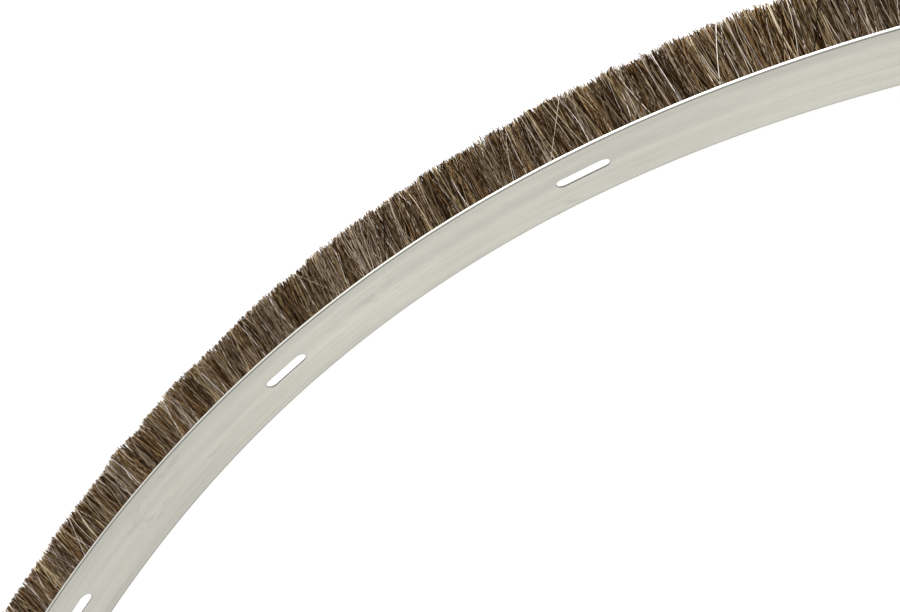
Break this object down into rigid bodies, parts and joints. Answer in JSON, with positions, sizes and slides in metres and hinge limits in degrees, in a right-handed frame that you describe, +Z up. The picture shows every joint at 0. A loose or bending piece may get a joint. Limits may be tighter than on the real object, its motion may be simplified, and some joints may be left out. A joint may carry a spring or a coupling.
{
  "type": "curved brush seal strip",
  "caption": "Curved strip of slotted sheet metal standing on edge, with dark horsehair bristles pointing outwards from its top rim.",
  "frame": {"origin": "centre of the bounding box's underside, in the plane of the band's lower edge", "axes": "+Z up, along the axis of the arc; +X along the strip's chord; +Y from the chord to the middle of the arc, the way the middle bristles point"},
  "size_m": [0.8744, 0.2642, 0.0348],
  "materials": {
    "band_metal": "satin mill finish, faintly streaked along the strip",
    "rail_metal": "satin mill finish",
    "wire_metal": "drawn galvanised wire",
    "horsehair": "trimmed natural horsehair, mixed brown"
  },
  "bodies": {
    "root": {"flange_band": "band_metal", "clamp_rail": "rail_metal", "core_wire": "wire_metal", "bristles": "horsehair"}
  },
  "joints": []
}
